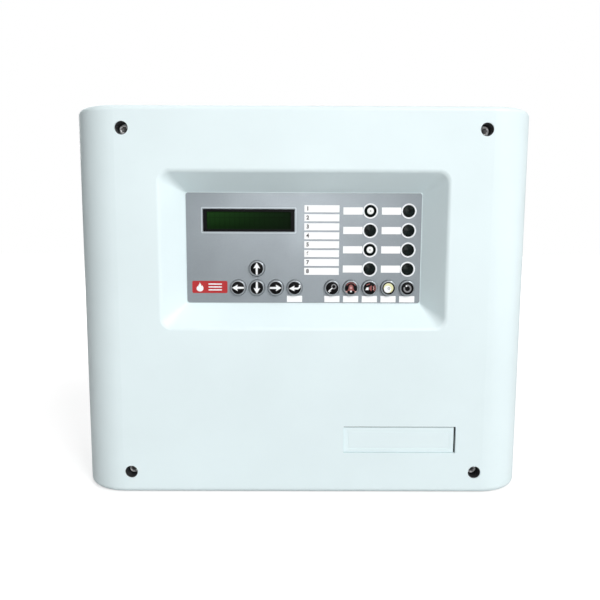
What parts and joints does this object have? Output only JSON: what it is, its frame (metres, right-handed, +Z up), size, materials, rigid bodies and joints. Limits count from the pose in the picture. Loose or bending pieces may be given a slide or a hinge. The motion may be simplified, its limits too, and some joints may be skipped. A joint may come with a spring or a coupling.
{
  "type": "fire alarm control panel",
  "caption": "Wall-mounted alarm control panel: rounded pale cover with a recessed fascia, display window, push keys and indicators, over a housing with boards and batteries.",
  "frame": {"origin": "centre of the rear face that lies against the wall", "axes": "+X to the right seen from the front, +Z up, the front faces -Y"},
  "size_m": [0.352, 0.096, 0.2976],
  "materials": {
    "abs_cover": "fine moulded texture, pale cyan-white ABS",
    "abs_housing": "fine moulded texture, pale cyan-white ABS",
    "abs_insert": "smooth pale ABS",
    "fascia_silver": "satin silver-grey printed polycarbonate overlay",
    "legend_white": "white legend slips behind clear film",
    "bezel_black": "black window frame",
    "lcd_green": "unlit dark green liquid-crystal display",
    "can_steel": "black oxide display can",
    "pcb_green": "solder-resist green circuit board",
    "ring_white": "white ring",
    "lens_dark": "smoked lens",
    "lens_lit": "white diffuser",
    "led_epoxy": "clear tinted epoxy",
    "key_cap": "black printed face with a silver shoulder",
    "screw_steel": "bright hex-socket steel",
    "screw_zinc": "zinc-plated steel",
    "switch_black": "black moulding",
    "connector_black": "black connector",
    "ribbon_grey": "grey ribbon cable",
    "insert_brass": "machined",
    "grommet_rubber": "black rubber",
    "terminal_green": "green terminal housings",
    "terminal_white": "natural polyamide",
    "relay_blue": "blue relay covers",
    "capacitor_sleeve": "dark sleeve",
    "fuse_holder_black": "black",
    "core_steel": "varnished laminations",
    "winding_tape": "yellow tape over the winding",
    "heatsink_aluminium": "black anodised extrusion",
    "battery_case": "dark grey ABS battery case",
    "tab_tin": "tinned",
    "strap_steel": "zinc-plated strap",
    "lead_red": "red insulated lead",
    "lead_black": "black insulated lead",
    "sleeve_nylon": "natural nylon"
  },
  "bodies": {
    "housing": {"battery_lead_red": "lead_red", "battery_leads_black": "lead_black", "battery_left": "battery_case", "battery_right": "battery_case", "battery_strap": "strap_steel", "battery_tabs": "tab_tin", "board_header": "connector_black", "board_screws": "screw_zinc", "bracket_screws": "screw_zinc", "capacitors": "capacitor_sleeve", "cover_inserts": "insert_brass", "earth_terminal": "insert_brass", "entry_grommets": "grommet_rubber", "field_terminals": "terminal_green", "fuses": "fuse_holder_black", "gland_plate": "abs_housing", "heatsink": "heatsink_aluminium", "lead_connectors": "sleeve_nylon", "main_board": "pcb_green", "mains_terminal": "terminal_white", "power_transistor": "switch_black", "rear_housing": "abs_housing", "relays": "relay_blue", "supply_board": "pcb_green", "terminal_screws": "screw_zinc", "transformer_core": "core_steel", "transformer_winding": "winding_tape"},
    "cover": {"display_board": "pcb_green", "display_board_screws": "screw_zinc", "display_buzzer": "switch_black", "display_header": "connector_black", "fascia_overlay": "fascia_silver", "front_cover": "abs_cover", "indicator_bezels": "ring_white", "indicator_centres": "lens_lit", "indicator_leds": "led_epoxy", "indicator_lenses": "lens_dark", "lcd_bezel": "bezel_black", "lcd_board": "pcb_green", "lcd_module": "can_steel", "lcd_screen": "lcd_green", "legend_slips": "legend_white", "nameplate_insert": "abs_insert", "ribbon_cable": "ribbon_grey", "ribbon_plugs": "connector_black", "tact_switches": "switch_black"},
    "key_up": {"key_up": "key_cap"},
    "key_left": {"key_left": "key_cap"},
    "key_down": {"key_down": "key_cap"},
    "key_right": {"key_right": "key_cap"},
    "key_enter": {"key_enter": "key_cap"},
    "key_access": {"key_access": "key_cap"},
    "key_sounders": {"key_sounders": "key_cap"},
    "key_buzzer": {"key_buzzer": "key_cap"},
    "key_lamp_test": {"key_lamp_test": "key_cap"},
    "key_reset": {"key_reset": "key_cap"},
    "cover_screw_top_left": {"cover_screw_top_left": "screw_steel"},
    "cover_screw_top_right": {"cover_screw_top_right": "screw_steel"},
    "cover_screw_bottom_left": {"cover_screw_bottom_left": "screw_steel"},
    "cover_screw_bottom_right": {"cover_screw_bottom_right": "screw_steel"}
  },
  "joints": [
    {"name": "cover_lift_off", "type": "slide", "parent": "housing", "child": "cover", "axis": [0, -1, 0], "range_m": [0, 0.12]},
    {"name": "press_up", "type": "slide", "parent": "cover", "child": "key_up", "axis": [0, 1, 0], "range_m": [0, 0.001], "stiffness_N_per_m": 400, "springref_m": -0.001},
    {"name": "press_left", "type": "slide", "parent": "cover", "child": "key_left", "axis": [0, 1, 0], "range_m": [0, 0.001], "stiffness_N_per_m": 400, "springref_m": -0.001},
    {"name": "press_down", "type": "slide", "parent": "cover", "child": "key_down", "axis": [0, 1, 0], "range_m": [0, 0.001], "stiffness_N_per_m": 400, "springref_m": -0.001},
    {"name": "press_right", "type": "slide", "parent": "cover", "child": "key_right", "axis": [0, 1, 0], "range_m": [0, 0.001], "stiffness_N_per_m": 400, "springref_m": -0.001},
    {"name": "press_enter", "type": "slide", "parent": "cover", "child": "key_enter", "axis": [0, 1, 0], "range_m": [0, 0.001], "stiffness_N_per_m": 400, "springref_m": -0.001},
    {"name": "press_access", "type": "slide", "parent": "cover", "child": "key_access", "axis": [0, 1, 0], "range_m": [0, 0.001], "stiffness_N_per_m": 400, "springref_m": -0.001},
    {"name": "press_sounders", "type": "slide", "parent": "cover", "child": "key_sounders", "axis": [0, 1, 0], "range_m": [0, 0.001], "stiffness_N_per_m": 400, "springref_m": -0.001},
    {"name": "press_buzzer", "type": "slide", "parent": "cover", "child": "key_buzzer", "axis": [0, 1, 0], "range_m": [0, 0.001], "stiffness_N_per_m": 400, "springref_m": -0.001},
    {"name": "press_lamp_test", "type": "slide", "parent": "cover", "child": "key_lamp_test", "axis": [0, 1, 0], "range_m": [0, 0.001], "stiffness_N_per_m": 400, "springref_m": -0.001},
    {"name": "press_reset", "type": "slide", "parent": "cover", "child": "key_reset", "axis": [0, 1, 0], "range_m": [0, 0.001], "stiffness_N_per_m": 400, "springref_m": -0.001},
    {"name": "turn_top_left", "type": "hinge", "parent": "cover", "child": "cover_screw_top_left", "pos_m": [-0.1343, -0.0845, 0.1311], "axis": [0, 1, 0], "continuous": true},
    {"name": "turn_top_right", "type": "hinge", "parent": "cover", "child": "cover_screw_top_right", "pos_m": [0.1343, -0.0845, 0.1311], "axis": [0, 1, 0], "continuous": true},
    {"name": "turn_bottom_left", "type": "hinge", "parent": "cover", "child": "cover_screw_bottom_left", "pos_m": [-0.1343, -0.0845, -0.1311], "axis": [0, 1, 0], "continuous": true},
    {"name": "turn_bottom_right", "type": "hinge", "parent": "cover", "child": "cover_screw_bottom_right", "pos_m": [0.1343, -0.0845, -0.1311], "axis": [0, 1, 0], "continuous": true}
  ]
}
